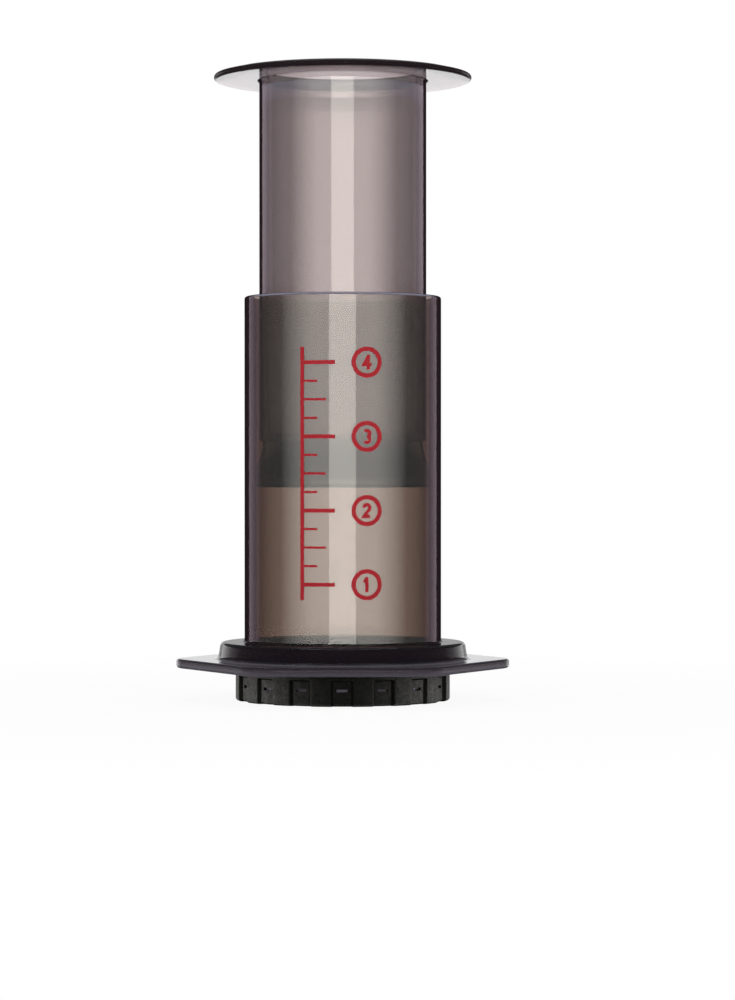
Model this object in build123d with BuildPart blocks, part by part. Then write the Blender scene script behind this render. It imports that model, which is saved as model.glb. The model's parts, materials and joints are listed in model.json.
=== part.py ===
from build123d import *
import os
from math import atan, cos, degrees, pi, radians, sin

# A hand-worked piston coffee press: a plunger with a rubber seal slides in a straight chamber,
# and pushes hot water through the coffee, a paper disc and a perforated cap into a mug.
# Millimetres. The press axis is Z and the origin is the middle of the cap's underside, which is
# what the press stands on. The level marks face -Y, and two corners of the mug flange lie on X.

# Running fits and small clearances
seal_running_gap = 0.06      # from the seal's lip to the bore, all round
snug_gap = 0.02              # between the seal and the neck that it is stretched over
seal_seat_gap = 0.1          # from the seal's top edge to the plunger's shoulder
paper_gap = 0.05             # above and below the paper disc
ink_gap = 0.01               # under the printed marks
lug_side_gap = 0.3           # from a lug's tip to the other part's wall
lug_face_gap = 0.25          # between the sloping faces of engaged lugs
cut_overrun = 1.0            # how far a cut runs past the face that it opens
weld = 0.4                   # how far a rib or a lug runs into the wall that carries it

# Chamber
bore_diameter = 60.7
chamber_wall = 2.4
tube_above_collar = 114.9
lead_in_depth = 3.0          # the widened mouth that the seal enters by
lead_in_width = 0.8
rim_round = 0.9
rim_inner_round = 0.3
collar_reach = 8.85          # how far the collar's foot stands out from the tube
collar_draft = 0.9           # how much narrower the collar is at its top
collar_rise = 5.6
collar_round = 1.4
collar_tube_fillet = 1.0
collar_base_fillet = 2.0
collar_wall = 2.3
rib_count = 12
rib_thickness = 1.5
rib_rise = 4.6

# Six-sided flange that rests across the mug
flange_reach = 15.9          # from the collar's foot to a corner, before the corner is rounded
flange_thickness = 3.1
flange_corner_radius = 13.0
flange_edge_round = 0.9

# Spigot under the flange, which the cap twists on to
spigot_wall = 1.65
spigot_length = 7.85
spigot_edge_round = 0.3
lug_count = 8
lug_length = 9.2
lug_thickness = 1.5
lug_reach = 1.2
lug_edge_round = 0.25
spigot_lug_lift = 2.6        # from the spigot's foot to the middle of its lugs
cap_drop_per_turn = 36.0     # how far one whole turn would lower the cap along the lugs

# Filter cap
cap_floor = 2.0
cap_wall = 1.0               # behind a grip notch
cap_top_gap = 0.9            # from the cap's rim to the flange above it
cap_foot_round = 1.0         # on the ridges between the grip notches
cap_rim_round = 0.35
grip_count = 16
grip_depth = 1.3
grip_width = 6.9
grip_top_band = 1.4          # the plain ring left above the notches
grip_edge_round = 0.35
vent_width = 3.6
vent_height = 1.0
vent_lift = 2.6              # from the cap's floor to a vent's lower edge
hole_radius = 1.05
hole_ring_step = 5.2
hole_ring_count = 5
hole_ring_start = 6          # holes in the innermost ring, and how many more each next ring has
drain_ring_width = 0.8       # the low rings that hold the paper off the floor
drain_ring_rise = 0.35
drain_ring_count = 6

# Paper filter
paper_thickness = 0.3
paper_side_gap = 1.6         # from the paper's edge to the cap's wall

# Plunger
plunger_gap = 2.55           # from the plunger's tube to the bore
plunger_wall = 2.2
plunger_tube_length = 119.7
plunger_flange_reach = 15.05
plunger_flange_thickness = 3.8   # at its mouth, from where it falls away to the rim
plunger_rim_height = 1.7
plunger_rim_round = 0.9
plunger_slope_width = 3.4    # the steeper outer part of the flange's top
plunger_slope_rise = 0.9
plunger_slope_round = 5.0
plunger_fillet = 0.7
plunger_mouth_round = 0.8
neck_step = 3.8              # how much the neck is set in from the tube
neck_floor = 2.5
neck_floor_round = 1.0
groove_depth = 0.9
groove_height = 2.4
groove_lift = 4.4            # from the neck's end to the groove

# Rubber seal
seal_height = 15.4
seal_floor = 3.0
seal_top_step = 1.2          # how much the seal's top edge is set in from the plunger's tube
seal_lip_height = 2.0        # the band that wipes the bore
seal_lip_chamfer = 1.0
seal_lip_undercut = 1.5
bead_side_gap = 0.15
plunger_lift = 68.1          # from the paper up to the seal, at rest

# Printed marks
ink_thickness = 0.08
mark_count = 4
mark_turn = 14.2             # degrees round from the front
mark_spacing = 24.0
first_mark_lift = 20.1       # from the collar's top to the middle of the lowest mark
mark_ring_radius = 5.05
mark_ring_stroke = 1.4
digit_height = 4.9
digit_width = 3.05
digit_stroke = 1.1
scale_width = 11.6
scale_stroke = 1.3
scale_fine_stroke = 0.75
scale_steps = 4              # fine steps between two numbered levels
scale_overrun = 5.0          # how far the scale's spine runs past its end marks
print_depth = 4.0            # how deep the marks' straight prisms are before the film trims them

# Radii that follow
bore_radius = bore_diameter / 2
tube_radius = bore_radius + chamber_wall
collar_foot_radius = tube_radius + collar_reach
collar_top_radius = collar_foot_radius - collar_draft
recess_radius = collar_foot_radius - collar_wall
flange_radius = collar_foot_radius + flange_reach
spigot_radius = bore_radius + spigot_wall
spigot_lug_radius = spigot_radius + lug_reach
cap_inner_radius = spigot_lug_radius + lug_side_gap
cap_lug_radius = spigot_radius + lug_side_gap
notch_floor_radius = cap_inner_radius + cap_wall
cap_radius = notch_floor_radius + grip_depth
paper_radius = cap_inner_radius - paper_side_gap
plunger_radius = bore_radius - plunger_gap
plunger_inner_radius = plunger_radius - plunger_wall
plunger_flange_radius = plunger_radius + plunger_flange_reach
neck_radius = plunger_radius - neck_step
neck_inner_radius = neck_radius - plunger_wall
seal_lip_radius = bore_radius - seal_running_gap
seal_top_radius = plunger_radius - seal_top_step
seal_inner_radius = neck_radius + snug_gap

# Heights that follow, from the cap's underside up
paper_z = cap_floor + drain_ring_rise + paper_gap
spigot_foot_z = paper_z + paper_thickness + paper_gap
flange_foot_z = spigot_foot_z + spigot_length
flange_top_z = flange_foot_z + flange_thickness
collar_top_z = flange_top_z + collar_rise
recess_top_z = collar_top_z - collar_wall
rim_z = collar_top_z + tube_above_collar
cap_top_z = flange_foot_z - cap_top_gap
cap_drop_per_radian = cap_drop_per_turn / (2 * pi)
ramp_angle = degrees(atan(cap_drop_per_radian / spigot_lug_radius))
lug_rise = lug_thickness / cos(radians(ramp_angle))
spigot_lug_z = spigot_foot_z + spigot_lug_lift
cap_lug_z = spigot_lug_z + lug_rise + lug_face_gap
seal_foot_z = paper_z + paper_thickness + plunger_lift
seal_top_z = seal_foot_z + seal_height
shoulder_z = seal_top_z + seal_seat_gap
neck_foot_z = seal_foot_z + seal_floor + snug_gap
groove_z = neck_foot_z + groove_lift
plunger_flange_z = shoulder_z + plunger_tube_length
plunger_rim_z = plunger_flange_z + plunger_rim_height
plunger_top_z = plunger_flange_z + plunger_flange_thickness
first_mark_z = collar_top_z + first_mark_lift


def corner(section, radius, height):
    """The corner of a half section that lies at a radius and a height."""
    return section.vertices().sort_by_distance((radius, height))[0]


def ramp_lug(inner_radius, outer_radius, height):
    """One sloping lug of the twist lock, centred on +X, between two radii."""
    ramp_face = Plane(origin=(0, 0, height), x_dir=(0, 1, 0), z_dir=(1, 0, 0))
    with BuildPart() as lug:
        with BuildSketch(Plane.XY.offset(height - lug_length)):
            Circle(outer_radius)
            Circle(inner_radius, mode=Mode.SUBTRACT)
        extrude(amount=2 * lug_length)
        with BuildSketch(ramp_face) as face:
            Rectangle(lug_length, lug_thickness, rotation=ramp_angle)
            fillet(face.vertices(), lug_edge_round)
        extrude(amount=outer_radius, mode=Mode.INTERSECT)
    return lug.part


def front_plane(turn, height):
    """The plane that lies on the chamber's outside, a number of degrees round from the front."""
    side = radians(turn)
    return Plane(
        origin=(tube_radius * sin(side), -tube_radius * cos(side), height),
        x_dir=(cos(side), sin(side), 0),
        z_dir=(sin(side), -cos(side), 0),
    )


# Chamber: tube, collar, flange and spigot are one moulding
spigot_lug = ramp_lug(spigot_radius - weld, spigot_lug_radius, spigot_lug_z)
collar_skirt_radius = collar_foot_radius + 2 * collar_base_fillet

with BuildPart() as chamber:
    with BuildSketch(Plane.XY.offset(flange_foot_z)) as flange_plan:
        RegularPolygon(radius=flange_radius, side_count=6)
        fillet(flange_plan.vertices(), flange_corner_radius)
        Circle(recess_radius, mode=Mode.SUBTRACT)
    extrude(amount=flange_thickness)
    flange_faces = chamber.faces().filter_by(Axis.Z)
    fillet([edge for face in flange_faces for edge in face.outer_wire().edges()], flange_edge_round)
    with BuildSketch(Plane.XZ) as wall_section:
        with BuildLine():
            Polyline(
                (bore_radius, spigot_foot_z),
                (spigot_radius, spigot_foot_z),
                (spigot_radius, flange_foot_z),
                (tube_radius, flange_foot_z),
                (tube_radius, recess_top_z),
                (recess_radius, recess_top_z),
                (recess_radius, flange_foot_z),
                (collar_skirt_radius, flange_foot_z),
                (collar_skirt_radius, flange_top_z),
                (collar_foot_radius, flange_top_z),
                (collar_top_radius, collar_top_z),
                (tube_radius, collar_top_z),
                (tube_radius, rim_z),
                (bore_radius + lead_in_width, rim_z),
                (bore_radius, rim_z - lead_in_depth),
                close=True,
            )
        make_face()
        fillet(corner(wall_section, collar_foot_radius, flange_top_z), collar_base_fillet)
        fillet(corner(wall_section, collar_top_radius, collar_top_z), collar_round)
        fillet(corner(wall_section, tube_radius, collar_top_z), collar_tube_fillet)
        fillet(corner(wall_section, tube_radius, rim_z), rim_round)
        fillet(corner(wall_section, bore_radius + lead_in_width, rim_z), rim_inner_round)
        fillet(corner(wall_section, spigot_radius, spigot_foot_z), spigot_edge_round)
    revolve(axis=Axis.Z)
    with BuildSketch(Plane.XY.offset(recess_top_z - rib_rise)):
        with PolarLocations((tube_radius + recess_radius) / 2, rib_count):
            Rectangle(recess_radius - tube_radius + 2 * weld, rib_thickness)
    extrude(amount=rib_rise + weld)
    with PolarLocations(0, lug_count):
        add(spigot_lug)

# Printed marks: numbered rings on the right of the front, and a plain scale on the left
digit_top = digit_height / 2 - digit_stroke / 2
digit_side = digit_width / 2 - digit_stroke / 2
bowl_radius = digit_top / 2
one_flag_share = 0.42
four_bar_share = -0.42
two_bend = 215               # degrees of the 2's round top
three_start = 145            # where the 3's upper bowl starts, in degrees
half_way_share = 0.75        # a half-way line's length, of a numbered line's
fine_share = 0.5


def digit_strokes(number):
    """One plain digit, drawn about the middle of its ring."""
    with BuildSketch() as digit:
        if number == 1:
            with BuildLine():
                Line((0, -digit_height / 2), (0, digit_height / 2))
            trace(line_width=digit_stroke)
            with BuildLine():
                Line((-digit_side, digit_top * one_flag_share), (0, digit_top))
        if number == 2:
            with BuildLine() as bend:
                CenterArc((0, digit_top - digit_side), digit_side, 180, -two_bend)
            trace(line_width=digit_stroke)
            with BuildLine():
                Polyline(bend.line @ 1, (-digit_side, -digit_top), (digit_side, -digit_top))
        if number == 3:
            with BuildLine():
                CenterArc((0, bowl_radius), bowl_radius, three_start, -three_start - 90)
            trace(line_width=digit_stroke)
            with BuildLine():
                CenterArc((0, -bowl_radius), bowl_radius, 90, -three_start - 90)
        if number == 4:
            with BuildLine():
                Line((digit_side / 2, -digit_height / 2), (digit_side / 2, digit_height / 2))
            trace(line_width=digit_stroke)
            with BuildLine():
                Polyline(
                    (digit_side / 2, digit_top),
                    (-digit_side, digit_top * four_bar_share),
                    (digit_side + digit_stroke / 2, digit_top * four_bar_share),
                )
        trace(line_width=digit_stroke)
    return digit.sketch


scale_foot_z = first_mark_z - scale_overrun
scale_top_z = first_mark_z + (mark_count - 1) * mark_spacing + scale_overrun
fine_spacing = mark_spacing / scale_steps

with BuildPart() as level_marks:
    for number in range(1, mark_count + 1):
        with BuildSketch(front_plane(mark_turn, first_mark_z + (number - 1) * mark_spacing)):
            Circle(mark_ring_radius)
            Circle(mark_ring_radius - mark_ring_stroke, mode=Mode.SUBTRACT)
            add(digit_strokes(number))
        extrude(amount=print_depth, both=True)
    with BuildSketch(front_plane(-mark_turn, (scale_foot_z + scale_top_z) / 2)):
        with Locations(((scale_stroke - scale_width) / 2, 0)):
            Rectangle(scale_stroke, scale_top_z - scale_foot_z)
    extrude(amount=print_depth, both=True)
    for step in range((mark_count - 1) * scale_steps + 1):
        numbered = step % scale_steps == 0
        half_way = step % scale_steps == scale_steps / 2
        reach = scale_width * (1 if numbered else half_way_share if half_way else fine_share)
        stroke = scale_stroke if numbered else scale_fine_stroke
        with BuildSketch(front_plane(-mark_turn, first_mark_z + step * fine_spacing)):
            with Locations(((reach - scale_width) / 2, 0)):
                Rectangle(reach, stroke)
        extrude(amount=print_depth, both=True)
    with BuildSketch(Plane.XY.offset(collar_top_z)):
        Circle(tube_radius + ink_gap + ink_thickness)
        Circle(tube_radius + ink_gap, mode=Mode.SUBTRACT)
    extrude(amount=tube_above_collar, mode=Mode.INTERSECT)

# Filter cap: perforated floor, low drain rings, notched grip and the lugs inside its wall
cap_lug = ramp_lug(cap_lug_radius, cap_inner_radius + weld, cap_lug_z)
drain_ring_share = 0.5       # a drain ring lies half way between two rings of holes

with BuildPart() as filter_cap:
    with BuildSketch() as grip_plan:
        Circle(cap_radius)
        with PolarLocations(cap_radius, grip_count, start_angle=-90):
            Rectangle(2 * grip_depth, grip_width, mode=Mode.SUBTRACT)
        fillet(grip_plan.vertices(), grip_edge_round)
    extrude(amount=cap_top_z - grip_top_band)
    with BuildSketch(Plane.XZ) as foot_section:
        with Locations((0, cap_top_z / 2)):
            Rectangle(2 * cap_radius, cap_top_z)
        fillet(foot_section.vertices().group_by(Axis.Y)[0], cap_foot_round)
        split(bisect_by=Plane.YZ)
    revolve(axis=Axis.Z, mode=Mode.INTERSECT)
    with BuildSketch(Plane.XY.offset(cap_top_z - grip_top_band)):
        Circle(cap_radius)
    extrude(amount=grip_top_band)
    with BuildSketch(Plane.XY.offset(cap_floor)):
        Circle(cap_inner_radius)
    extrude(amount=cap_top_z, mode=Mode.SUBTRACT)
    fillet(filter_cap.faces().sort_by(Axis.Z)[-1].edges(), cap_rim_round)
    with BuildSketch(Plane.XY.offset(cap_floor)):
        Circle(spigot_radius)
        Circle(bore_radius, mode=Mode.SUBTRACT)
        for ring in range(drain_ring_count):
            ring_radius = (ring + drain_ring_share) * hole_ring_step
            Circle(ring_radius + drain_ring_width / 2)
            Circle(ring_radius - drain_ring_width / 2, mode=Mode.SUBTRACT)
    extrude(amount=drain_ring_rise)
    with BuildSketch():
        Circle(hole_radius)
        for ring in range(1, hole_ring_count + 1):
            with PolarLocations(ring * hole_ring_step, hole_ring_start * ring):
                Circle(hole_radius)
    extrude(amount=cap_floor, mode=Mode.SUBTRACT)
    with BuildSketch(Plane.XY.offset(cap_floor + vent_lift)):
        with PolarLocations(notch_floor_radius, grip_count, start_angle=-90):
            Rectangle(2 * (cap_wall + cut_overrun), vent_width)
    extrude(amount=vent_height, mode=Mode.SUBTRACT)
    with PolarLocations(0, lug_count):
        add(cap_lug)

# Paper filter: a plain disc
with BuildPart() as paper_filter:
    with BuildSketch(Plane.XY.offset(paper_z)):
        Circle(paper_radius)
    extrude(amount=paper_thickness)

# Plunger: a hollow tube, open at its flange and closed at the grooved neck
with BuildPart() as plunger:
    with BuildSketch(Plane.XZ) as plunger_section:
        with BuildLine():
            Polyline(
                (0, neck_foot_z),
                (neck_radius, neck_foot_z),
                (neck_radius, groove_z),
                (neck_radius - groove_depth, groove_z),
                (neck_radius - groove_depth, groove_z + groove_height),
                (neck_radius, groove_z + groove_height),
                (neck_radius, shoulder_z),
                (plunger_radius, shoulder_z),
                (plunger_radius, plunger_flange_z),
                (plunger_flange_radius, plunger_flange_z),
                (plunger_flange_radius, plunger_rim_z),
                (plunger_flange_radius - plunger_slope_width, plunger_rim_z + plunger_slope_rise),
                (plunger_inner_radius, plunger_top_z),
                (plunger_inner_radius, shoulder_z + plunger_wall),
                (neck_inner_radius, shoulder_z + plunger_wall),
                (neck_inner_radius, neck_foot_z + neck_floor),
                (0, neck_foot_z + neck_floor),
                close=True,
            )
        make_face()
        fillet(corner(plunger_section, plunger_radius, plunger_flange_z), plunger_fillet)
        fillet(
            [
                corner(plunger_section, plunger_flange_radius, plunger_flange_z),
                corner(plunger_section, plunger_flange_radius, plunger_rim_z),
            ],
            plunger_rim_round,
        )
        fillet(
            corner(
                plunger_section,
                plunger_flange_radius - plunger_slope_width,
                plunger_rim_z + plunger_slope_rise,
            ),
            plunger_slope_round,
        )
        fillet(corner(plunger_section, plunger_inner_radius, plunger_top_z), plunger_mouth_round)
        fillet(corner(plunger_section, neck_inner_radius, neck_foot_z + neck_floor), neck_floor_round)
    revolve(axis=Axis.Z)

# Rubber seal: a cup stretched over the neck, flared to a lip that wipes the bore
lip_top_z = seal_foot_z + seal_lip_chamfer + seal_lip_height
bead_foot_z = groove_z + bead_side_gap
bead_top_z = groove_z + groove_height - bead_side_gap
bead_radius = seal_inner_radius - groove_depth + bead_side_gap
flare_share = 0.35

with BuildPart() as plunger_seal:
    with BuildSketch(Plane.XZ) as seal_section:
        with BuildLine():
            lip = Polyline(
                (0, seal_foot_z),
                (seal_lip_radius - seal_lip_undercut, seal_foot_z),
                (seal_lip_radius, seal_foot_z + seal_lip_chamfer),
                (seal_lip_radius, lip_top_z),
            )
            flare = ThreePointArc(
                lip @ 1,
                (
                    seal_top_radius + (seal_lip_radius - seal_top_radius) * flare_share,
                    (lip_top_z + seal_top_z) / 2,
                ),
                (seal_top_radius, seal_top_z),
            )
            Polyline(
                flare @ 1,
                (seal_inner_radius, seal_top_z),
                (seal_inner_radius, bead_top_z),
                (bead_radius, bead_top_z),
                (bead_radius, bead_foot_z),
                (seal_inner_radius, bead_foot_z),
                (seal_inner_radius, seal_foot_z + seal_floor),
                (0, seal_foot_z + seal_floor),
                lip @ 0,
            )
        make_face()
    revolve(axis=Axis.Z)

os.makedirs("parts", exist_ok=True)

chamber.part.label = "chamber"
level_marks.part.label = "level_marks"
filter_cap.part.label = "filter_cap"
paper_filter.part.label = "paper_filter"
plunger.part.label = "plunger"
plunger_seal.part.label = "plunger_seal"

for piece in (chamber, level_marks, filter_cap, paper_filter, plunger, plunger_seal):
    export_step(piece.part, f"parts/{piece.part.label}.step")
    print(piece.part.label, round(piece.part.volume, 1), piece.part.bounding_box())

print("bore radius", bore_radius, "tube radius", tube_radius, "cap radius", cap_radius)
print("flange underside at", flange_foot_z, "rim at", rim_z, "plunger top at", plunger_top_z)
print("seal foot at", seal_foot_z, "seal above paper", plunger_lift)
print("cap lowers", cap_drop_per_radian, "per radian, lugs slope", ramp_angle, "degrees")
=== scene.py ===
# %% [markdown]
# # A piston coffee press
#
# The press is a clear smoky chamber that hangs by its six-sided flange, a hollow plunger with a
# rubber seal that slides in it, and a perforated cap with a paper disc that twists on below. The
# construction comes in first, as a fixed frame in metres: Z is up along the press axis, the level
# marks face -Y, and the press stands on the underside of its cap.

import bmesh
import bpy
import json
import math
from mathutils import Matrix, Vector

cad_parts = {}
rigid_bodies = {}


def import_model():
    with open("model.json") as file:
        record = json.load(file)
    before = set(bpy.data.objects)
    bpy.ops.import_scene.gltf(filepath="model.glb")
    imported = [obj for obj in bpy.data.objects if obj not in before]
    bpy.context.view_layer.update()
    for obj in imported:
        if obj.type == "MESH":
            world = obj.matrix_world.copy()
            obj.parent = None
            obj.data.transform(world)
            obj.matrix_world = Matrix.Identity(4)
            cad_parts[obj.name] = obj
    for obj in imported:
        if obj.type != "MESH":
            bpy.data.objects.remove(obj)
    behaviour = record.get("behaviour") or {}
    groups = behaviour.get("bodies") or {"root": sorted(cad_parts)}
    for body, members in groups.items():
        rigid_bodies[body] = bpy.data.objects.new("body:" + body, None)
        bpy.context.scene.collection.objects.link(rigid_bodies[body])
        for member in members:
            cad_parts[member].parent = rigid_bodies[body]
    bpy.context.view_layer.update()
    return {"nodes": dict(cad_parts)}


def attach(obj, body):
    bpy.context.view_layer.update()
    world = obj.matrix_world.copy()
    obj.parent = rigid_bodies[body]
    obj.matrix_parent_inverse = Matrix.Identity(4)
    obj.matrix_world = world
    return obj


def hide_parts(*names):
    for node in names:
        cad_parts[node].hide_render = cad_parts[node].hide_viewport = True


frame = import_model()

# %% [markdown]
# ## Writing node maths as plain sums
#
# A material or a Geometry Nodes tree soon needs a dozen Math nodes. They could be added and linked
# by hand, but the rule that they stand for is then hard to read. This small class wraps a socket,
# so that a sum of sockets and numbers adds its own Math nodes, and `node` adds any other node.


# %% Node maths
class Wire:
    """One output socket of a node tree, which the usual operators turn into Math nodes."""

    def __init__(self, tree, socket):
        self.tree = tree
        self.socket = socket

    def maths(self, operation, *others, reflected=False, clamp=False):
        """A Math node on this wire and any others; reflected puts this wire last."""
        values = (*others, self) if reflected else (self, *others)
        settings = {"operation": operation, "use_clamp": clamp}
        return node(self.tree, "ShaderNodeMath", settings, **numbered(values))

    def __add__(self, other):
        return self.maths("ADD", other)

    def __sub__(self, other):
        return self.maths("SUBTRACT", other)

    def __rsub__(self, other):
        return self.maths("SUBTRACT", other, reflected=True)

    def __mul__(self, other):
        return self.maths("MULTIPLY", other)

    def __truediv__(self, other):
        return self.maths("DIVIDE", other)

    def __rtruediv__(self, other):
        return self.maths("DIVIDE", other, reflected=True)

    __radd__ = __add__
    __rmul__ = __mul__

    def root(self):
        return self.maths("SQRT")

    def least(self, other):
        return self.maths("MINIMUM", other)

    def most(self, other):
        return self.maths("MAXIMUM", other)

    def ramp(self, low, high):
        """0 below low, 1 above high, and a straight slope between them."""
        return (self - low).maths("DIVIDE", high - low, clamp=True)


# %% Any other node
def connect(tree, value, place):
    """Puts a number, a colour of three numbers or another node's output into a socket."""
    if isinstance(value, Wire):
        tree.links.new(value.socket, place)
    elif place.type == "RGBA":
        place.default_value = (*value, 1.0)
    else:
        place.default_value = value


def numbered(values):
    """Names sockets by their number, as s0, s1 and so on, where some of them share a name."""
    return {f"s{number}": value for number, value in enumerate(values)}


def node(tree, kind, settings=None, output=0, **values):
    """Adds any node: its settings first, then its sockets by name, and gives one output back."""
    made = tree.nodes.new(kind)
    for name, value in (settings or {}).items():
        setattr(made, name, value)
    for name, value in values.items():
        key = int(name[1:]) if name[1:].isdigit() else name.replace("_", " ")
        connect(tree, value, made.inputs[key])
    return Wire(tree, made.outputs[output])


example = bpy.data.node_groups.new("example", "ShaderNodeTree")
example_end = (1 - 2 * node(example, "ShaderNodeValue")).socket.node
print("1 - 2 * value takes", len(example.nodes), "nodes and ends in", example_end.operation)
bpy.data.node_groups.remove(example)

# %% [markdown]
# ## Short words for materials
#
# Every finish starts as an empty material, mixes shaders, and ends in one output node. All of them
# ask the same few questions: what a place's height is, how long a vector is, how much the eye skims
# a face, and what kind of ray is asking. Each gets a short helper, because a long row of node names
# would hide what a finish is made of.

# %% Short words for materials
mm = 0.001


def new_material(name):
    """An empty node material, with its node tree."""
    material = bpy.data.materials.new(name)
    material.use_nodes = True
    material.node_tree.nodes.clear()
    return material, material.node_tree


def end_shader(name, tree, kind="ShaderNodeOutputMaterial", **ends):
    """The tree's last node, with what goes into its Surface and its Volume."""
    last = tree.nodes.new(kind)
    for title, wire in ends.items():
        connect(tree, wire, last.inputs[title])
    print(name, "has", len(tree.nodes), "nodes")


def mixed(tree, factor, first, second):
    """A Mix Shader: the first where the factor is 0, and the second where it is 1."""
    return node(tree, "ShaderNodeMixShader", **numbered((factor, first, second)))


def vector_maths(tree, operation, *vectors, output="Vector"):
    """A Vector Math node; a length or a dot product comes from its Value output."""
    settings = {"operation": operation}
    return node(tree, "ShaderNodeVectorMath", settings, output, **numbered(vectors))


def coordinate(tree, vector, axis):
    """The X, Y or Z of a vector."""
    return node(tree, "ShaderNodeSeparateXYZ", output=axis, Vector=vector)


def skimming(tree):
    """0 where the eye meets a face square on, and 1 where it runs along it."""
    return node(tree, "ShaderNodeLayerWeight", output="Facing", Blend=0.5)


def ray_is(tree, first_kind, *other_kinds):
    """1 for a ray of one of these kinds, such as Camera, and 0 for any other."""
    found = node(tree, "ShaderNodeLightPath", output=f"Is {first_kind} Ray")
    for kind in other_kinds:
        found = found.most(ray_is(tree, kind))
    return found


print("a millimetre is", mm, "of the scene's metres")

# %% [markdown]
# ## Clear smoky plastic
#
# The chamber and the plunger are moulded in a clear brownish plastic. Their thin tubes and their
# thick flanges look so different that the material has a recipe for each. Both ask the same things
# of a point: how high it lies, how far from the axis, whether its face points up, and whether the
# eye meets it square on or runs along it. This step gathers these answers as wires, lengths in
# millimetres as on a drawing. A fine noise goes with them, because no moulding is quite even.


# %% What a point of a clear piece knows
class Spot:
    """Wires that tell where a point lies and how the eye meets it."""

    def __init__(self, tree):
        place = node(tree, "ShaderNodeTexCoord", output="Object")
        level_place = vector_maths(tree, "MULTIPLY", place, (1, 1, 0))
        normal = node(tree, "ShaderNodeNewGeometry", output="Normal")
        self.height = coordinate(tree, place, "Z") / mm
        self.reach = vector_maths(tree, "LENGTH", level_place, output="Value") / mm
        self.up = coordinate(tree, normal, "Z")
        self.grazing = skimming(tree)
        grain = node(tree, "ShaderNodeTexNoise", Vector=place, Scale=0.9 / mm, Detail=3.0)
        self.uneven = 0.8 + 0.4 * grain
        self.ripple = node(tree, "ShaderNodeBump", Height=grain, Strength=0.02, Distance=0.2 * mm)


example, tree = new_material("example")
print("a point knows its", ", ".join(vars(Spot(tree))))
bpy.data.materials.remove(example)


# %% [markdown]
# ### The thin walls
#
# Seen straight through, a wall is a light smoke, and where the eye runs along it, it is nearly
# black, because the light crosses far more plastic there. Real bending of light would need many
# samples and would show the tubes' edges bright in a white room. So a wall lets light straight
# through, a Volume Absorption inside it dims the light by the length of its way, and Layer Weight
# darkens the outline. A little scattered haze and a thin gloss lie on top, warm where the wall
# faces the eye and violet near its outline. The gloss is left off the inner faces, which would
# show every lamp twice.


# %% The thin walls
def thin_wall(tree, spot, dark, haze, haze_share, veil_share, outline):
    """A clear wall; the two share rules turn a spot's wires into how much haze and veil it has."""
    clear = node(tree, "ShaderNodeBsdfTransparent")
    scatter = node(tree, "ShaderNodeBsdfDiffuse", Color=haze)
    veil = node(tree, "ShaderNodeBsdfDiffuse", Color=(0.37, 0.37, 0.50))
    wall = mixed(tree, haze_share(spot) * spot.uneven, clear, scatter)
    wall = mixed(tree, veil_share(spot), wall, veil)

    # Painted shade: a dark diffuse mixed in where the eye runs along the wall, in the place of the
    # light lost on its long way through the plastic.
    outline_share, outline_softness = 0.985, 0.035
    painted_outline_shade = outline_share * spot.grazing.ramp(outline, outline + outline_softness)
    wall = mixed(tree, painted_outline_shade, wall, dark)

    gloss_share = 0.05
    polish = {"Roughness": 0.04, "Normal": spot.ripple}
    warm = node(tree, "ShaderNodeBsdfAnisotropic", Color=(1.0, 0.97, 0.90), **polish)
    violet = node(tree, "ShaderNodeBsdfAnisotropic", Color=(1.0, 0.76, 0.88), **polish)
    gloss = mixed(tree, spot.grazing.ramp(0.38, 0.50), warm, violet)
    inner_face = node(tree, "ShaderNodeNewGeometry", output="Backfacing")
    return mixed(tree, gloss_share * (1 - inner_face) * (1 - painted_outline_shade), wall, gloss)


# %% [markdown]
# ### The thick flanges
#
# The flanges are thick enough to bend light, and their rims and undersides show it, so they are a
# real refracting solid. Its upright faces are so dark that painted shade, a dark diffuse, is mixed
# in there. Other faces carry painted light, a pale violet that stands for what they mirror and let
# through, most of it where the eye skims them.
# Light that only casts a shadow goes straight through, because bent light would need far more
# samples than it is worth here.


# %% The thick flanges
def thick_part(tree, spot, dark, tint, shine, painted_side_shade, level_from, painted_light_colour, painted_light_share):
    """A solid that bends light, with painted shade on its upright faces and painted light by its
    rule.
    """
    polish = {"Roughness": 0.03, "IOR": 1.30, "Specular_Tint": shine, "Normal": spot.ripple}
    solid = node(
        tree, "ShaderNodeBsdfPrincipled", Base_Color=tint, Transmission_Weight=0.97, **polish
    )
    # Painted light: a pale violet, opaque version of the plastic that stands for reflected and
    # let-through light.
    painted_light_shader = node(tree, "ShaderNodeBsdfPrincipled", Base_Color=painted_light_colour, **polish)
    level = spot.up.maths("ABSOLUTE").ramp(level_from, level_from + 0.3)
    # Painted shade: the dark diffuse on the upright faces.
    solid = mixed(tree, painted_side_shade * (1 - level), solid, dark)
    # Painted light: the pale violet where the share rule puts it.
    solid = mixed(tree, painted_light_share(spot) * spot.uneven, solid, painted_light_shader)
    straight_through = node(tree, "ShaderNodeBsdfTransparent")
    return mixed(tree, ray_is(tree, "Shadow"), solid, straight_through)


# %% Thin and thick in one piece
def smoky_plastic(name, wall, thick, thick_share, absorbed, density):
    """The whole material: a thin wall and a thick part, and the plastic that fills both."""
    material, tree = new_material(name)
    spot = Spot(tree)
    # Painted shade: a dark diffuse, mixed into the walls' outlines and the flanges' upright faces.
    dark = node(tree, "ShaderNodeBsdfDiffuse", Color=(0.018, 0.011, 0.014))
    thin = thin_wall(tree, spot, dark, **wall)
    solid = thick_part(tree, spot, dark, **thick)
    inside = node(tree, "ShaderNodeVolumeAbsorption", Color=absorbed, Density=density)
    end_shader(name, tree, Surface=mixed(tree, thick_share(spot), thin, solid), Volume=inside)
    return material
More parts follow.
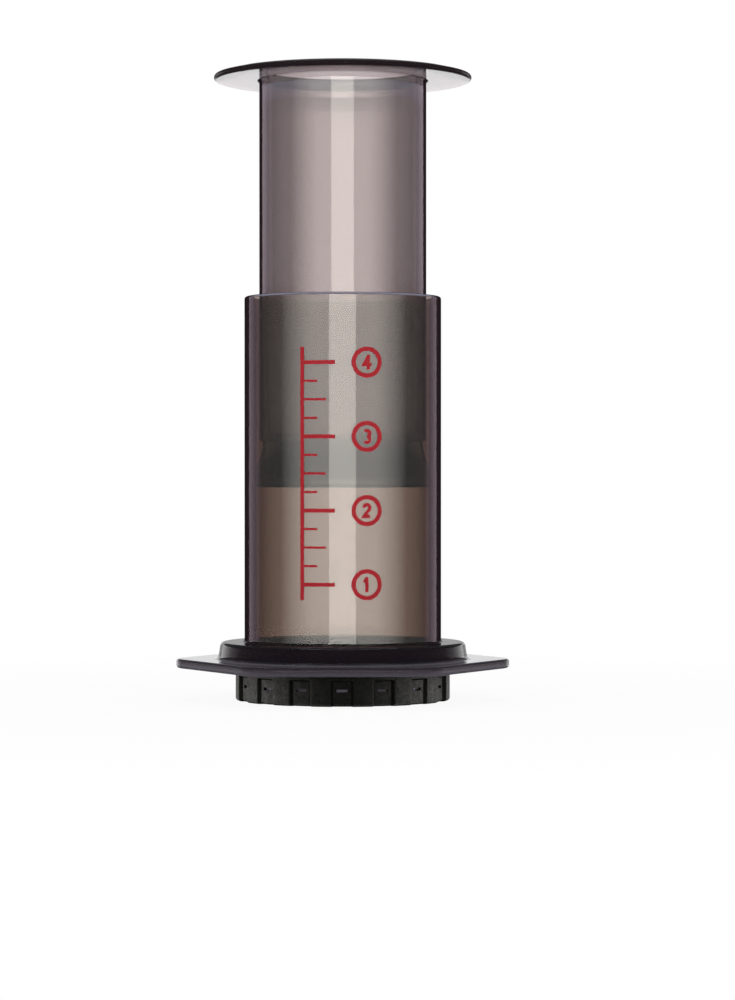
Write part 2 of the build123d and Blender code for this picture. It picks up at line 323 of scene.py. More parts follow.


# %% [markdown]
# ### The chamber's and the plunger's plastic
#
# Both come from the same granulate, but the plunger's wall is a little thinner and paler. The rules
# say where each thing shows, by the heights of the drawing: haze on the chamber above the seal,
# with a painted sheen where the wall faces the eye, a pale band at the top of its mouth, and
# painted light on the six-sided flange. The plunger's painted light lies under its round flange,
# near the tube, and a painted lighter ring shows where the two meet.

# %% Heights and reaches, and the chamber's painted light
tube, spigot = 32.75, 32.0
flange_foot, flange_top, collar_height, rim_height = 10.6, 13.7, 19.3, 134.2
plunger_tube, palm_foot = 27.8, 206.0
print("tube above the collar:", round(rim_height - collar_height, 1), "mm")


def chamber_painted_light(spot):
    """Painted light: pale on the flange's face, more towards its lower edge, on its top and on the
    spigot.
    """
    face = 0.04 * (1 - spot.height.ramp(flange_top + 0.1, flange_top + 0.5))
    # Painted reflection of the white below, brighter towards the flange's lower edge.
    lower_edge = 0.20 * (1 - spot.height.ramp(flange_foot + 0.1, flange_foot + 2.4))
    below_collar = 1 - spot.height.ramp(flange_top + 0.5, flange_top + 1.3)
    # Painted reflection on the faces that look up, most where the eye skims them.
    skimmed = spot.grazing.ramp(0.6, 0.9) * below_collar
    top = spot.up.ramp(0.5, 0.9) * (0.04 + 0.30 * skimmed)
    below_flange = 1 - spot.height.ramp(flange_foot - 0.6, flange_foot)
    # Painted light on the spigot, which shows through the cap's slots.
    on_spigot = 0.45 * below_flange * (1 - spot.reach.ramp(tube + 0.85, tube + 1.25))
    everywhere = 0.01
    return everywhere + face + lower_edge + top + on_spigot


# %% The chamber's plastic
haze_sheen_foot, haze_sheen_top = 80.0, 95.0
chamber_clear = smoky_plastic(
    "chamber_smoky_plastic",
    wall=dict(
        haze=(0.48, 0.435, 0.44), outline=0.68,
        # Haze above the seal: partly scattering in the plastic, partly painted sheen, strongest
        # where the wall faces the eye.
        haze_share=lambda spot: (
            0.015 + 0.11 * spot.height.ramp(haze_sheen_foot, haze_sheen_top)
            * (1 - spot.grazing.ramp(0.02, 0.40))
        ),
        veil_share=lambda spot: 0.65 * spot.height.ramp(rim_height - 0.9, rim_height - 0.4),
    ),
    thick=dict(
        # Painted shade on the flange's upright faces, and a pale violet painted light where the
        # share rule puts it.
        tint=(0.10, 0.085, 0.13), shine=(0.28, 0.21, 0.28), painted_side_shade=0.5, level_from=0.3,
        painted_light_colour=(0.42, 0.38, 0.47), painted_light_share=chamber_painted_light,
    ),
    thick_share=lambda spot: (
        (1 - spot.height.ramp(collar_height - 0.8, collar_height + 0.7))
        * spot.reach.ramp(spigot - 0.8, spigot - 0.4)
    ),
    absorbed=(0.345, 0.195, 0.107), density=500.0,
)

# %% The plunger's plastic
plunger_clear = smoky_plastic(
    "plunger_smoky_plastic",
    wall=dict(
        haze=(0.54, 0.50, 0.52), outline=0.715,
        haze_share=lambda spot: 0.03 + 0.12 * spot.grazing.ramp(0.04, 0.25),
        # Painted light: a lighter band on the tube just under the round flange.
        veil_share=lambda spot: (
            0.24 * spot.height.ramp(palm_foot - 9.0, palm_foot - 3.0)
            * (1 - spot.height.ramp(palm_foot - 2.7, palm_foot - 2.3))
        ),
    ),
    thick=dict(
        # Painted shade on the round flange's upright faces; painted light, pale violet, on its
        # faces that look down, near the tube.
        tint=(0.94, 0.90, 0.935), shine=(0.45, 0.36, 0.46), painted_side_shade=0.85, level_from=0.69,
        painted_light_colour=(0.74, 0.67, 0.72),
        painted_light_share=lambda spot: (
            0.45 * (1 - spot.up.ramp(-0.99, -0.94))
            * (1 - spot.reach.ramp(plunger_tube + 6.2, plunger_tube + 13.2))
        ),
    ),
    thick_share=lambda spot: (
        spot.height.ramp(palm_foot - 2.5, palm_foot - 1.0)
        * spot.reach.ramp(plunger_tube + 0.4, plunger_tube + 0.8)
    ),
    absorbed=(0.329, 0.182, 0.194), density=440.0,
)

# %% [markdown]
# ## Rubber, grained plastic, ink and paper
#
# The opaque pieces share one recipe. A cloudy noise shifts the colour and the roughness a little,
# as handling and moulding do, and a fine noise raises a grain. What tells them apart is how fine
# and how high that grain is, and how much they shine: the cap was moulded in an etched tool, the
# seal is satin, the ink is a thin smooth film, and the paper's fibres lie mostly along one way.
# Soft rubber has fine pits too, so it isn't a mirror where the eye skims it, as hard plastic is.


# %% A grained finish
def opaque_finish(name, colours, roughness, shine, cloud_size, grain_size, grain_height,
                  stretch=(1, 1, 1), sheen=0.0, dulled=0.0):
    """A grained finish; sizes in millimetres, colours and roughness each as a pair of ends."""
    material, tree = new_material(name)
    place = node(tree, "ShaderNodeTexCoord", output="Object")
    place = vector_maths(tree, "MULTIPLY", place, stretch)
    cloud = node(tree, "ShaderNodeTexNoise", Vector=place, Scale=1 / (cloud_size * mm), Detail=5.0)
    grain = node(tree, "ShaderNodeTexNoise", Vector=place, Scale=1 / (grain_size * mm), Detail=3.0)
    mix = (0.5 * cloud + 0.5 * grain).ramp(0.35, 0.65)
    base = node(
        tree, "ShaderNodeMix", {"data_type": "RGBA"}, output=2, Factor=mix,
        s6=colours[0], s7=colours[1],
    )
    bump = node(tree, "ShaderNodeBump", Height=grain, Strength=1.0, Distance=grain_height * mm)
    low, high = roughness
    shader = node(
        tree, "ShaderNodeBsdfPrincipled", Base_Color=base, Roughness=low + (high - low) * cloud,
        Specular_IOR_Level=shine, Normal=bump,
    )
    if dulled:
        matt = node(
            tree, "ShaderNodeBsdfPrincipled", Base_Color=base, Roughness=1.0,
            Specular_IOR_Level=0.0, Normal=bump,
        )
        shader = mixed(tree, dulled * skimming(tree).ramp(0.55, 0.80), shader, matt)
    # Painted sheen: a lit grey mixed in where the eye skims the outward faces.
    if sheen:
        shader = with_sheen(tree, shader, sheen * (0.5 + mix), place, bump)
    end_shader(name, tree, Surface=shader)
    return material


# %% [markdown]
# ### The sheen of an etched cap
#
# On a matt, etched wall the light from both sides is caught by the grain's flanks, so the wall
# looks greyer where it turns away from the eye. Here that sheen is painted: a lit grey is mixed in
# by how much the eye skims the face. It goes only on the faces that look outwards: inside a grip
# notch or a slot the wall stays black. The dot product of the face's direction with the way out
# from the axis tells the two apart.


# %% The sheen of an etched cap
def with_sheen(tree, shader, share, place, bump):
    """Adds a painted grey sheen on the outward faces, where the eye skims them."""
    sheen_light = node(tree, "ShaderNodeBsdfDiffuse", Color=(0.5, 0.5, 0.47), Normal=bump)
    way_out = vector_maths(tree, "MULTIPLY", place, (1, 1, 0))
    way_out = vector_maths(tree, "NORMALIZE", way_out)
    normal = node(tree, "ShaderNodeNewGeometry", output="Normal")
    outward = vector_maths(tree, "DOT_PRODUCT", way_out, normal, output="Value")
    share = share * skimming(tree).ramp(0.0, 0.35) * outward.ramp(0.6, 0.9)
    return mixed(tree, share, shader, sheen_light)


# %% The four opaque finishes
seal_rubber = opaque_finish(
    "seal_rubber", colours=((0.012, 0.024, 0.042), (0.018, 0.034, 0.056)),
    roughness=(0.12, 0.24), shine=0.7, cloud_size=6.0, grain_size=0.5, grain_height=0.01,
    dulled=0.94,
)
cap_plastic = opaque_finish(
    "cap_matt_plastic", colours=((0.0005, 0.0005, 0.0004), (0.0095, 0.0095, 0.0080)),
    roughness=(0.45, 0.65), shine=0.06, cloud_size=1.5, grain_size=0.45, grain_height=0.09,
    # A painted grey sheen on the cap's outward faces, where the eye skims them.
    sheen=0.24,
)
print_red = opaque_finish(
    "print_red_ink", colours=((0.38, 0.008, 0.016), (0.44, 0.012, 0.022)),
    roughness=(0.32, 0.48), shine=0.2, cloud_size=4.0, grain_size=0.3, grain_height=0.004,
)
paper = opaque_finish(
    "filter_paper", colours=((0.82, 0.78, 0.70), (0.90, 0.88, 0.82)),
    roughness=(0.85, 0.95), shine=0.15, cloud_size=4.0, grain_size=0.6, grain_height=0.05,
    stretch=(1, 0.35, 1),
)

# %% [markdown]
# ### Giving the constructed pieces their finishes
#
# The level marks keep their constructed shape, a printed film of ink on the tube: plain ticks and
# the numbers 1 to 4 in rings. The other pieces are built again below with rounder edges, and get
# the same finishes there. Every constructed piece is given its finish here all the same.

# %% Giving the constructed pieces their finishes
finishes = {
    "chamber": chamber_clear, "plunger": plunger_clear, "plunger_seal": seal_rubber,
    "filter_cap": cap_plastic, "paper_filter": paper, "level_marks": print_red,
}
for name, material in finishes.items():
    for slot in frame["nodes"][name].material_slots:
        slot.material = material
    print(name, "is finished in", material.name)

# %% [markdown]
# ## Sections with rounded corners
#
# A mould maker never leaves a corner quite sharp: plastic would not fill it, and it would crack
# there. So each round piece starts as a half section, a chain of corners given by their radius,
# their height and the size of their rounding, and this step turns every rounding into a short arc.
# A section lies in the XZ plane. Two more numbers travel with each point: whether it belongs to the
# six-sided flange, and how deep the cap's grip notches reach there.


# %% Sections with rounded corners
arc_steps = 6


def rounded_chain(corners):
    """Turns corners (radius, height, rounding, sided, grip) in millimetres into section points."""
    corners = [(*corner, 0, 0, 0)[:5] for corner in corners]
    points = []
    for index, (radius, height, rounding, sided, grip) in enumerate(corners):
        here = Vector((radius, height))
        if not rounding:
            points.append((here, sided, grip))
            continue
        before = (Vector(corners[index - 1][:2]) - here).normalized()
        after = (Vector(corners[(index + 1) % len(corners)][:2]) - here).normalized()
        half = before.angle(after) / 2
        middle = here + (before + after).normalized() * (rounding / math.sin(half))
        start = here + before * (rounding / math.tan(half)) - middle
        end = here + after * (rounding / math.tan(half)) - middle
        turn = start.angle_signed(end)
        for step in range(arc_steps + 1):
            spoke = Matrix.Rotation(-turn * step / arc_steps, 2) @ start
            points.append((middle + spoke, sided, grip))
    return points


print("a rounded corner takes", len(rounded_chain([(0, 0), (1, 0, 0.2), (1, 1)])) - 2, "points")


# %% A section as an object
def section_object(name, corners, closed=True):
    """A half section as a chain of vertices; a closed one ends where it starts."""
    points = rounded_chain(corners)
    if closed:
        points.append(points[0])
    mesh = bpy.data.meshes.new(name)
    places = [(point.x * mm, 0, point.y * mm) for point, sided, grip in points]
    mesh.from_pydata(places, [(index, index + 1) for index in range(len(points) - 1)], [])
    for title, slot in (("sided", 1), ("grip", 2)):
        values = mesh.attributes.new(title, "FLOAT", "POINT")
        values.data.foreach_set("value", [point[slot] for point in points])
    piece = bpy.data.objects.new(name, mesh)
    bpy.context.scene.collection.objects.link(piece)
    print(name, "section:", len(corners), "corners,", len(points), "points")
    return piece


# %% [markdown]
# ## A turned body whose rule knows a rounded hexagon and grip notches
#
# All the round pieces could be spun one by one, but the chamber's flange is six-sided and the
# cap's grip is notched, and both blend into round parts of the same moulding. So one Geometry
# Nodes tree makes them all, and two rules in it can bend the circle. The sizes are named inputs of
# the tree, as on a drawing with a table of sizes, and each piece fills in its own.


# %% Trees with named inputs
def geometry_tree(name, **inputs):
    """A Geometry Nodes tree with named inputs, and a wire for each of them."""
    tree = bpy.data.node_groups.new(name, "GeometryNodeTree")
    tree.interface.new_socket("Geometry", in_out="INPUT", socket_type="NodeSocketGeometry")
    tree.interface.new_socket("Geometry", in_out="OUTPUT", socket_type="NodeSocketGeometry")
    kinds = {int: "NodeSocketInt", float: "NodeSocketFloat"}
    for title, value in inputs.items():
        socket = tree.interface.new_socket(
            title.replace("_", " "), in_out="INPUT", socket_type=kinds[type(value)]
        )
        socket.default_value = value
    tree.interface.new_socket("Material", in_out="INPUT", socket_type="NodeSocketMaterial")
    start = tree.nodes.new("NodeGroupInput")
    wires = {socket.name: Wire(tree, socket) for socket in start.outputs if socket.name}
    return tree, wires


def end_tree(tree, shape, wires):
    """Realize Instances, Set Material and the tree's output."""
    real = node(tree, "GeometryNodeRealizeInstances", Geometry=shape)
    painted = node(tree, "GeometryNodeSetMaterial", Geometry=real, Material=wires["Material"])
    end = tree.nodes.new("NodeGroupOutput")
    connect(tree, painted, end.inputs[0])


def swung(tree, radius, angle, height):
    """The place at a radius, an angle in radians and a height."""
    across, along = radius * angle.maths("COSINE"), radius * angle.maths("SINE")
    return node(tree, "ShaderNodeCombineXYZ", X=across, Y=along, Z=height)


example, wires = geometry_tree("example", Size=1.0)
print("a tree's inputs are", ", ".join(wires))
bpy.data.node_groups.remove(example)

# %% [markdown]
# ### A grid that looks up its section
#
# The tree lays a grid with a column for each point of the section and a row for each step round the
# axis. Each corner of the grid works out its column and its step from its own number, and reads the
# radius, the height and the two marks of its section point. A nudge of 0.0001 keeps a whole number
# from being rounded the wrong way.

# %% A grid that looks up its section
turned, wires = geometry_tree(
    "turned body", Steps=288, Flat_Distance=0.05, Corner_Radius=0.01,
    Notch_Count=0, Notch_Depth=0.0, Notch_Width=0.0, Notch_Edge=0.0, Notch_Radius=0.0,
)
section = wires["Geometry"]
nudge = 0.0001
columns = node(turned, "GeometryNodeAttributeDomainSize", Geometry=section)
rows = wires["Steps"] + 1
grid = node(
    turned, "GeometryNodeMeshGrid", Size_X=1.0, Size_Y=1.0, Vertices_X=columns, Vertices_Y=rows
)
index = node(turned, "GeometryNodeInputIndex")
column = (index / rows + nudge).maths("FLOOR")
step = index - column * rows


def of_section(value, kind="FLOAT"):
    """What the section has at this column's point."""
    return node(
        turned, "GeometryNodeSampleIndex", {"data_type": kind}, Geometry=section, Value=value,
        Index=column,
    )


def mark(title):
    """A mark that travels with the section's points."""
    kind = {"data_type": "FLOAT"}
    return of_section(node(turned, "GeometryNodeInputNamedAttribute", kind, Name=title))


point = of_section(node(turned, "GeometryNodeInputPosition"), "FLOAT_VECTOR")
reach, height = coordinate(turned, point, "X"), coordinate(turned, point, "Z")
sided, grip = mark("sided"), mark("grip")
print("the grid and its section take", len(turned.nodes), "nodes")

# %% [markdown]
# ### Angles that crowd at the notches
#
# Even steps would cut a notch's wall anywhere. A sine wave added to the angle crowds the steps
# together at the walls of each notch, twice per notch, so that these stay crisp with few faces. A
# body without notches keeps its even steps.

# %% Angles that crowd at the notches
full_turn = 2 * math.pi
crowding = 0.75
share = step / wires["Steps"]
cells = share * wires["Notch Count"]
crowded = cells + crowding / (2 * full_turn) * (cells * (2 * full_turn)).maths("SINE")
with_notches = wires["Notch Count"].maths("GREATER_THAN", 0.5)
angle = full_turn * (share + (crowded / wires["Notch Count"] - share) * with_notches)
print("with the angles there are", len(turned.nodes), "nodes")

# %% [markdown]
# ### The rounded hexagon
#
# Seen from above, the chamber's flange is a hexagon with round corners. At each angle from the
# nearest corner, its edge is either a straight flat or the circle that rounds that corner, so the
# radius follows from a right triangle or from the law of cosines. A section point that lies further
# in makes a smaller hexagon with a tighter corner, which keeps the edge's rounding even all round.

# %% The rounded hexagon
corner_turn = math.radians(60)
half_side = corner_turn / 2
from_corner = (angle + half_side).maths("FLOORED_MODULO", corner_turn)
from_corner = (from_corner - half_side).maths("ABSOLUTE")
sine, cosine = from_corner.maths("SINE"), from_corner.maths("COSINE")
inset = wires["Flat Distance"] - reach
corner_radius = wires["Corner Radius"] - inset
centre_reach = (wires["Flat Distance"] - wires["Corner Radius"]) / math.cos(half_side)
bend = (corner_radius * corner_radius - centre_reach * centre_reach * sine * sine).most(0.0)
round_reach = centre_reach * cosine + bend.root()
flat_reach = reach / (half_side - from_corner).maths("COSINE")
bend_end = (corner_radius * math.sin(half_side)).maths(
    "ARCTAN2", centre_reach + corner_radius * math.cos(half_side)
)
on_flat = from_corner.maths("GREATER_THAN", bend_end)
six_sided = round_reach + (flat_reach - round_reach) * on_flat
print("with the hexagon there are", len(turned.nodes), "nodes")

# %% [markdown]
# ### The grip notches
#
# A notch sinks the wall by a smooth step on either side, measured along the rim. What the section
# point is marked with says how deep it sinks there: the whole depth on the grip, none on the rest.

# %% The grip notches
from_notch = ((crowded + 0.5).maths("FRACT") - 0.5).maths("ABSOLUTE")
along_rim = from_notch * full_turn * wires["Notch Radius"] / wires["Notch Count"]
rise = (along_rim - wires["Notch Width"] / 2 + wires["Notch Edge"]) / (2 * wires["Notch Edge"])
rise = rise.most(0.0).least(1.0)
sunk = 1 - rise * rise * (3 - 2 * rise)
radius = reach + (six_sided - reach) * sided - grip * wires["Notch Depth"] * sunk * with_notches

place = swung(turned, radius, angle, height)
shape = node(turned, "GeometryNodeSetPosition", Geometry=grid, Position=place)
shape = node(turned, "GeometryNodeMergeByDistance", Geometry=shape, Distance=0.001 * mm)
shape = node(turned, "GeometryNodeFlipFaces", Mesh=shape)
shape = node(turned, "GeometryNodeSetShadeSmooth", Geometry=shape)
end_tree(turned, shape, wires)
print("turned body:", len(turned.nodes), "nodes and", len(wires), "inputs")

# %% [markdown]
# ## Rings of bars
#
# The ribs under the chamber's flange, the sloping lugs of the twist lock and the slots in the
# cap's wall are all short bars that repeat round the axis. One tree makes them: a small rounded
# profile follows a path from one radius, angle and height to another, and a copy stands at each
# turn.

# %% Rings of bars
bars, wires = geometry_tree(
    "ring of bars", Count=8, Start_Radius=0.0, End_Radius=0.0, Half_Angle=0.0, Height=0.0,
    Half_Rise=0.0, Width=0.0, Thickness=0.0, Edge_Round=0.0,
)
path_points, edge_steps = 13, 3
line = node(bars, "GeometryNodeCurvePrimitiveLine", {"mode": "POINTS"})
path = node(bars, "GeometryNodeResampleCurve", {"mode": "COUNT"}, Curve=line, Count=path_points)
along = node(bars, "GeometryNodeInputIndex") / (path_points - 1)
side = 2 * along - 1
radius = wires["Start Radius"] + (wires["End Radius"] - wires["Start Radius"]) * along
place = swung(
    bars, radius, side * wires["Half Angle"], wires["Height"] + side * wires["Half Rise"]
)
path = node(bars, "GeometryNodeSetPosition", Geometry=path, Position=place)
path = node(bars, "GeometryNodeSetCurveNormal", {"mode": "Z_UP"}, Curve=path)
profile = node(
    bars, "GeometryNodeCurvePrimitiveQuadrilateral", Width=wires["Width"], Height=wires["Thickness"]
)
profile = node(
    bars, "GeometryNodeFilletCurve", {"mode": "POLY"}, Curve=profile, Radius=wires["Edge Round"],
    Count=edge_steps,
)
bar = node(bars, "GeometryNodeCurveToMesh", Curve=path, Profile_Curve=profile, Fill_Caps=True)
spots = node(bars, "GeometryNodePoints", Count=wires["Count"])
turn = node(bars, "GeometryNodeInputIndex") * full_turn / wires["Count"]
ring = node(
    bars, "GeometryNodeInstanceOnPoints", Points=spots, Instance=bar,
    Rotation=node(bars, "ShaderNodeCombineXYZ", Z=turn),
)
end_tree(bars, ring, wires)
print("ring of bars:", len(bars.nodes), "nodes and", len(wires), "inputs")

# %% [markdown]
# ## The perforation
#
# The cap's holes lie on rings round a middle one, each ring with six more than the ring inside it.
# Counted from the middle, ring number n ends with hole 3 n (n + 1), so a hole finds its ring by
# solving that for n, and no table of places is needed.

# %% The perforation
perforation, wires = geometry_tree(
    "perforation", Rings=5, Ring_Step=0.0, Hole_Radius=0.0, Depth=0.0
)
rings, hole_sides = wires["Rings"], 20
spots = node(perforation, "GeometryNodePoints", Count=3 * rings * (rings + 1) + 1)
index = node(perforation, "GeometryNodeInputIndex")
ring = (((9 + 12 * index).root() - 3) / 6 - nudge).maths("CEIL")
place_in_ring = index - 3 * ring * (ring - 1) - 1
place = swung(
    perforation, ring * wires["Ring Step"], full_turn * place_in_ring / (6 * ring), 0.0
)
spots = node(perforation, "GeometryNodeSetPosition", Geometry=spots, Position=place)
hole = node(
    perforation, "GeometryNodeMeshCylinder", Vertices=hole_sides, Radius=wires["Hole Radius"],
    Depth=wires["Depth"],
)
holes = node(perforation, "GeometryNodeInstanceOnPoints", Points=spots, Instance=hole)
end_tree(perforation, holes, wires)
print("perforation:", len(perforation.nodes), "nodes and", len(wires), "inputs")

# %% [markdown]
# ## From trees to plain meshes
#
# A tree is a live modifier, and a piece has to end as a plain mesh with its place in it. So each
# piece is evaluated once, doubles are merged, its faces are made to point outwards, and its corners
# are marked sharp by their angle. A second pass evens the shading on the small roundings, where the
# large flat faces should win. Counting the edges that don't have two faces proves it is closed.


# %% Trees on pieces
def apply_tree(piece, tree, material, **values):
    """Gives a piece a Geometry Nodes modifier and sets its inputs by their identifiers."""
    modifier = piece.modifiers.new(tree.name, "NODES")
    modifier.node_group = tree
    wanted = {title.replace("_", " "): value for title, value in values.items()}
    wanted["Material"] = material
    for socket in tree.interface.items_tree:
        if socket.in_out == "INPUT" and socket.name in wanted:
            modifier[socket.identifier] = wanted[socket.name]


def grown(name, tree, material, **values):
    """An object that a tree makes out of its inputs alone."""
    piece = bpy.data.objects.new(name, bpy.data.meshes.new(name))
    bpy.context.scene.collection.objects.link(piece)
    apply_tree(piece, tree, material, **values)
    return piece


# %% Joining and cutting
def combine(piece, other, operation):
    """A boolean with another object, whose own modifiers have made its shape."""
    modifier = piece.modifiers.new(operation.lower(), "BOOLEAN")
    modifier.operation = operation
    modifier.solver = "MANIFOLD"
    modifier.object = other


# %% A plain closed mesh
sharp_angle, doubles = math.radians(32), 0.002 * mm


def made_plain(piece):
    """Puts what a piece's modifiers give in the place of its mesh, without the modifiers."""
    evaluated = piece.evaluated_get(bpy.context.evaluated_depsgraph_get())
    mesh = bpy.data.meshes.new_from_object(evaluated)
    piece.modifiers.clear()
    piece.data = mesh
    mesh.name = piece.name
    return mesh


def open_edges(mesh):
    """How many edges have other than two faces."""
    work = bmesh.new()
    work.from_mesh(mesh)
    amount = sum(len(edge.link_faces) != 2 for edge in work.edges)
    work.free()
    return amount


def finished(piece, helpers=()):
    """Turns a piece's modifiers into a plain mesh with outward faces and crisp corners."""
    mesh = made_plain(piece)
    work = bmesh.new()
    work.from_mesh(mesh)
    bmesh.ops.remove_doubles(work, verts=work.verts, dist=doubles)
    bmesh.ops.recalc_face_normals(work, faces=work.faces)
    work.to_mesh(mesh)
    work.free()
    mesh.set_sharp_from_angle(angle=sharp_angle)
    even = piece.modifiers.new("even", "WEIGHTED_NORMAL")
    even.keep_sharp = True
    mesh = made_plain(piece)
    for helper in helpers:
        bpy.data.objects.remove(helper)
    print(piece.name, len(mesh.polygons), "faces", open_edges(mesh), "open edges")


# %% [markdown]
# ## The chamber
#
# Tube, collar, six-sided flange and lugged spigot are one injection moulding. Its section starts
# at the spigot's foot, goes up the outside and comes back down the bore. The collar is hollow
# below, which keeps its wall thin and even, so that it cools without sinking in. Two of the corners
# belong to the six-sided rim and are marked so. The mouth has a short lead-in for the seal.

# %% The chamber's body
bore, spigot_foot = 30.35, 2.75
collar_foot, collar_top = 41.6, 40.7
recess, recess_top = 39.3, 17.0
lead_in_width, lead_in_depth = 0.8, 3.0
corner_distance, corner_round, edge_round = 57.5, 13.0, 0.9
flat_distance = corner_distance * math.cos(half_side)

chamber_corners = [
    (bore, spigot_foot, 0.2), (spigot, spigot_foot, 0.3), (spigot, flange_foot),
    (tube, flange_foot, 0.3), (tube, recess_top, 0.4), (recess, recess_top, 0.4),
    (recess, flange_foot, 0.3), (flat_distance, flange_foot, edge_round, 1),
    (flat_distance, flange_top, edge_round, 1), (collar_foot, flange_top, 2.0),
    (collar_top, collar_height, 1.4), (tube, collar_height, 1.0), (tube, rim_height, 0.9),
    (bore + lead_in_width, rim_height, 0.4), (bore, rim_height - lead_in_depth, 0.8),
]
chamber = section_object("chamber_body", chamber_corners)
apply_tree(
    chamber, turned, chamber_clear, Steps=288, Flat_Distance=flat_distance * mm,
    Corner_Radius=corner_round * mm,
)
print("six-sided flange:", round(2 * flat_distance, 1), "mm across its flats")

# %% [markdown]
# ### Ribs in the hollow collar
#
# Twelve ribs stand in the hollow under the collar, as a moulder would put them to keep the flange
# flat under the palm's push. Each is a bar that reaches a little into both walls, so that the union
# has no faces that only touch.

# %% Ribs in the hollow collar
rib_count, rib_width, rib_depth, into_wall = 12, 1.5, 5.0, 0.4
ribs = grown(
    "ribs", bars, chamber_clear, Count=rib_count, Start_Radius=(tube - into_wall) * mm,
    End_Radius=(recess + into_wall) * mm, Height=(recess_top + into_wall - rib_depth / 2) * mm,
    Width=rib_width * mm, Thickness=rib_depth * mm, Edge_Round=0.2 * mm,
)
combine(chamber, ribs, "UNION")
print(rib_count, "ribs,", round(rib_depth - into_wall, 1), "mm deep")

# %% [markdown]
# ### The lugs of the twist lock
#
# Short sloping lugs stand out round the spigot, and the cap's lugs climb over them when it is
# turned. Their slope gives the 0.1 mm of travel per degree that the joint between cap and chamber
# has, so the lugs slide along each other without touching.

# %% The lugs of the twist lock
lug_count, lug_length, lug_thickness, lug_reach = 8, 9.2, 1.5, 1.2
lug_slope, lug_height = math.radians(9.7915), 5.35
lug_sizes = dict(
    Count=lug_count, Half_Rise=lug_length / 2 * math.tan(lug_slope) * mm,
    Width=(lug_reach + into_wall) * mm, Thickness=lug_thickness * mm, Edge_Round=0.25 * mm,
)


def ring_of_lugs(name, material, middle, height):
    """Sloping lugs round the axis, whose middle lies at a radius and a height."""
    return grown(
        name, bars, material, Start_Radius=middle * mm, End_Radius=middle * mm,
        Half_Angle=lug_length / 2 / middle, Height=height * mm, **lug_sizes,
    )


spigot_lugs = ring_of_lugs(
    "spigot_lugs", chamber_clear, spigot + (lug_reach - into_wall) / 2, lug_height
)
combine(chamber, spigot_lugs, "UNION")
finished(chamber, (ribs, spigot_lugs))
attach(chamber, "chamber")
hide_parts("chamber")

# %% [markdown]
# ## The plunger
#
# The plunger is a tube that closes near its lower end, where a narrower neck with a groove takes
# the seal. Its mouth flares into a round flange, wide enough for a palm to press on, whose top
# falls away from the mouth to a thin rim. The section starts and ends on the axis, so it is an open
# chain, and the merge by distance closes the two poles.

# %% The plunger
plunger_bore, shoulder, inner_step = 25.6, 86.3, 88.5
palm_reach, plunger_top = 42.85, 209.8
palm_rim, palm_slope_reach, palm_slope_top = palm_foot + 1.7, palm_reach - 3.4, palm_foot + 2.6
neck, neck_bore, neck_foot, neck_floor = 24.0, 21.8, 73.82, 76.32
groove_foot, groove_top, groove_depth = 78.22, 80.62, 0.9

plunger_corners = [
    (0, neck_foot), (neck, neck_foot, 1.0), (neck, groove_foot, 0.2),
    (neck - groove_depth, groove_foot, 0.2), (neck - groove_depth, groove_top, 0.2),
    (neck, groove_top, 0.2), (neck, shoulder, 0.3), (plunger_tube, shoulder, 0.3),
    (plunger_tube, palm_foot, 0.7), (palm_reach, palm_foot, 0.9), (palm_reach, palm_rim, 0.9),
    (palm_slope_reach, palm_slope_top, 5.0), (plunger_bore, plunger_top, 0.8),
    (plunger_bore, inner_step, 0.5), (neck_bore, inner_step, 0.5), (neck_bore, neck_floor, 0.8),
    (0, neck_floor),
]
plunger = section_object("plunger_body", plunger_corners, closed=False)
apply_tree(plunger, turned, plunger_clear, Steps=256)
finished(plunger)
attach(plunger, "plunger")
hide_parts("plunger")

# %% [markdown]
# ## The rubber seal
#
# The seal is a thick rubber cup stretched over the plunger's neck, with a bead that snaps into the
# neck's groove. Only its lowest band touches the bore; above it the side falls away in a hollow
# curve, so that the seal slides without sticking. A power of the height draws that curve.

# %% The rubber seal
seal_foot, seal_top, lip_foot, lip_top = 70.8, 86.2, 71.8, 73.8
lip, foot_face, top_edge, soft_edge = 30.29, 28.79, 26.6, 0.5
seal_bore, seal_floor = 24.02, 73.8
bead, bead_foot, bead_top = 23.27, 78.37, 80.47
flare_steps, flare_power = 12, 1.55

seal_corners = [(0, seal_foot), (foot_face, seal_foot, 0.3), (lip, lip_foot, 0.3)]
for flare_step in range(flare_steps + 1):
    share = flare_step / flare_steps
    fall = (1 - share) ** flare_power
    height = lip_top + (seal_top - soft_edge - lip_top) * share
    seal_corners.append((top_edge + (lip - top_edge) * fall, height))
seal_corners += [
    (top_edge - 0.1, seal_top - 0.15), (top_edge - 0.45, seal_top), (seal_bore, seal_top, 0.2),
    (seal_bore, bead_top), (bead, bead_top, 0.2), (bead, bead_foot, 0.2), (seal_bore, bead_foot),
    (seal_bore, seal_floor), (0, seal_floor),
]
seal = section_object("seal_cup", seal_corners, closed=False)
apply_tree(seal, turned, seal_rubber, Steps=256)
finished(seal)
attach(seal, "plunger")
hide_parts("plunger_seal")

# %% [markdown]
# ## The filter cap
#
# The cap is a shallow cup. Low rings on its floor hold the paper off it, so that the whole paper
# drains to the holes, and a flat ring outside them lets the chamber's foot press the paper tight.
# Sixteen wide notches make the grip, and they fade out below the plain top band.

# %% The cap's body
cap_outer, cap_inner, cap_height, cap_floor = 35.8, 33.5, 9.7, 2.0
notch_count, notch_width, notch_depth, notch_edge, notch_top = 16, 6.9, 1.3, 0.35, 8.3
ring_rise, ring_half_width = 0.35, 0.4
hole_rings, hole_step, hole_radius = 5, 5.2, 1.05
seat_inner, seat_outer = bore, spigot
underside_edge, grip_middle, fade, band_steps = 30.0, 4.0, 0.3, 6

